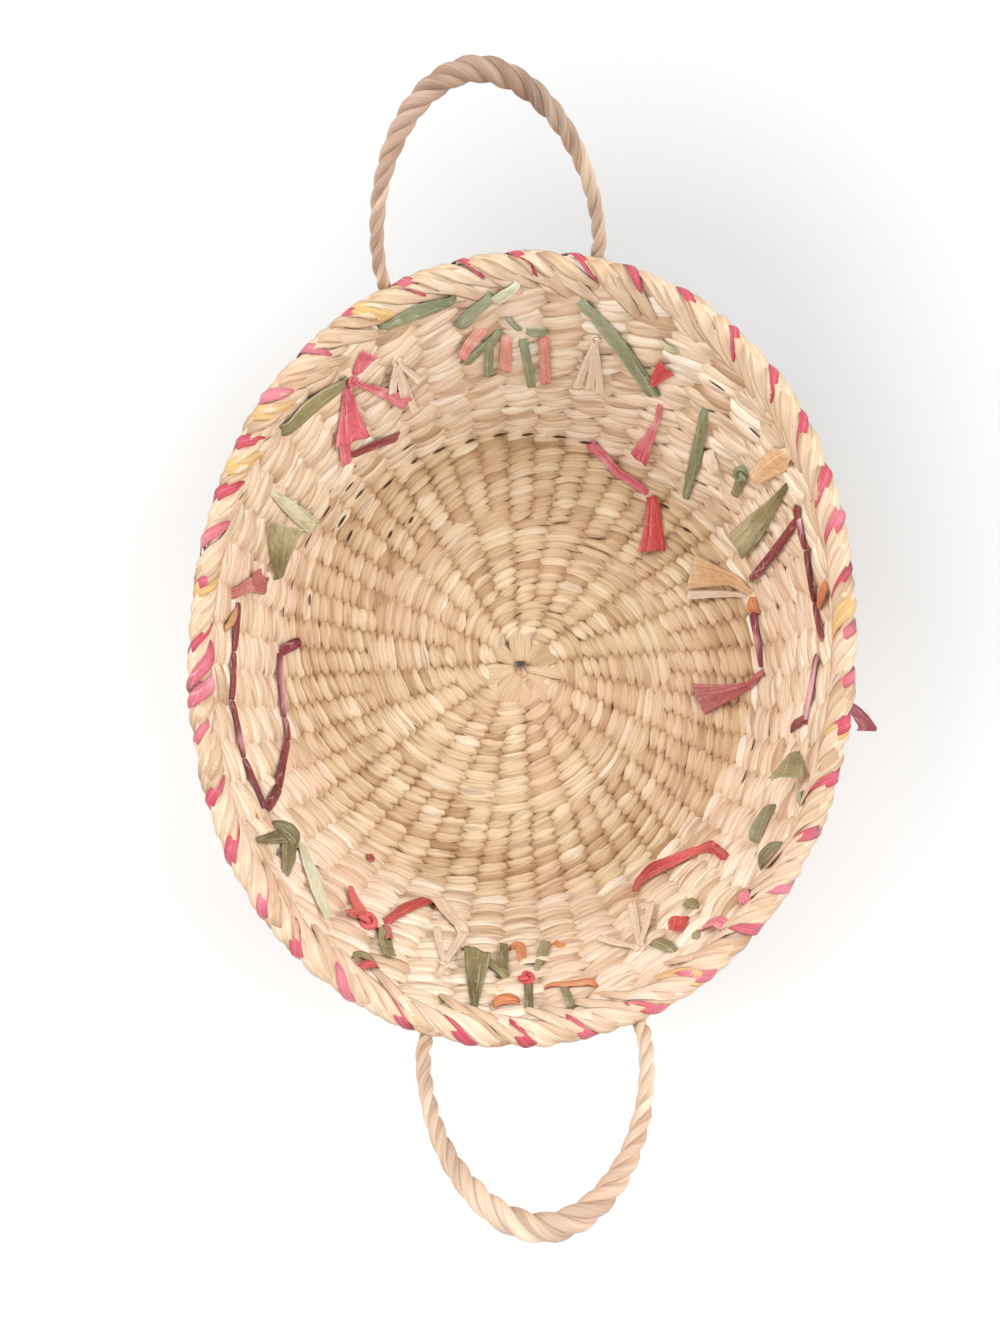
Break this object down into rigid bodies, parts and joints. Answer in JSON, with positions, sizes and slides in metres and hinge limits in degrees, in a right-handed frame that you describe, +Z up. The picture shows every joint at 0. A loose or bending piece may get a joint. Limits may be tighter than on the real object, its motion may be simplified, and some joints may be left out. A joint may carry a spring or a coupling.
{
  "type": "raffia basket",
  "caption": "Open oval basket twined from straw, with a round flat floor, a whipped rim, swinging rope handles and raffia embroidery whose stitches and tails show inside.",
  "frame": {"origin": "centre of the floor's underside, on the surface that the basket stands on", "axes": "+Z up, +Y towards the back handle, which is at the top of the picture, and +X to its right"},
  "size_m": [0.2892, 0.435, 0.1884],
  "materials": {
    "weave": "matte twined straw, cream with tan and pinkish strands",
    "stake": "matte straw core",
    "rim_straw": "satin golden straw",
    "rope": "matte twisted straw rope",
    "raffia_natural": "satin natural raffia ribbon",
    "raffia_pink": "satin dyed raffia ribbon",
    "raffia_red": "satin dyed raffia ribbon",
    "raffia_crimson": "satin dyed raffia ribbon",
    "raffia_maroon": "satin dyed raffia ribbon",
    "raffia_orange": "satin dyed raffia ribbon",
    "raffia_green": "satin dyed raffia ribbon",
    "raffia_olive": "satin dyed raffia ribbon",
    "raffia_pale_green": "satin dyed raffia ribbon"
  },
  "bodies": {
    "basket": {"floor_underside_weft": "weave", "floor_inside_weft": "weave", "wall_outside_weft": "weave", "wall_inside_weft": "weave", "stake_frame": "stake", "rim_core": "stake", "whipping_straw": "rim_straw", "whipping_pink": "raffia_pink", "tail_right_pink": "raffia_pink", "fan_back_left": "raffia_pink", "flower_back_right": "raffia_pink", "flower_back_left": "raffia_pink", "leg_back_left": "rope", "leg_back_right": "rope", "leg_front_right": "rope", "leg_front_left": "rope", "lashing_back_left": "raffia_natural", "lashing_back_right": "raffia_natural", "lashing_front_right": "raffia_natural", "lashing_front_left": "raffia_natural", "leaf_back_low": "raffia_green", "leaf_back_high": "raffia_green", "petal_back_green": "raffia_green", "leaf_back_right": "raffia_green", "leaf_right_high": "raffia_green", "petal_front_green": "raffia_green", "leaf_front_left": "raffia_green", "leaf_left_pale": "raffia_pale_green", "leaf_right_olive": "raffia_olive", "fan_right_olive": "raffia_olive", "fan_front_olive": "raffia_olive", "leaf_left_olive": "raffia_olive", "leaf_back_left": "raffia_olive", "petal_back_red": "raffia_red", "ribbon_front_right": "raffia_red", "petal_front_right": "raffia_red", "petal_front_left": "raffia_red", "petal_back_left": "raffia_red", "flower_back": "raffia_red", "flower_front_right": "raffia_red", "flower_front_left": "raffia_red", "fold_left_crimson": "raffia_crimson", "stitch_right_slant": "raffia_maroon", "stitch_right_long": "raffia_maroon", "stitch_left_high": "raffia_maroon", "stitch_left_low": "raffia_maroon", "flower_right": "raffia_maroon", "flower_left": "raffia_maroon", "petal_front_orange": "raffia_orange", "flower_front": "raffia_orange"},
    "handle_back": {"handle_back_grip": "rope"},
    "handle_front": {"handle_front_grip": "rope"}
  },
  "joints": [
    {"name": "handle_back_swing", "type": "hinge", "parent": "basket", "child": "handle_back", "pos_m": [-0.00282, 0.16492, 0.1276], "axis": [0.997, 0.0769, -0.0033], "range_deg": [-68, 110]},
    {"name": "handle_front_swing", "type": "hinge", "parent": "basket", "child": "handle_front", "pos_m": [-0.0054, -0.16656, 0.12745], "axis": [-1, -0.0088, 0.0045], "range_deg": [-68, 110]}
  ]
}
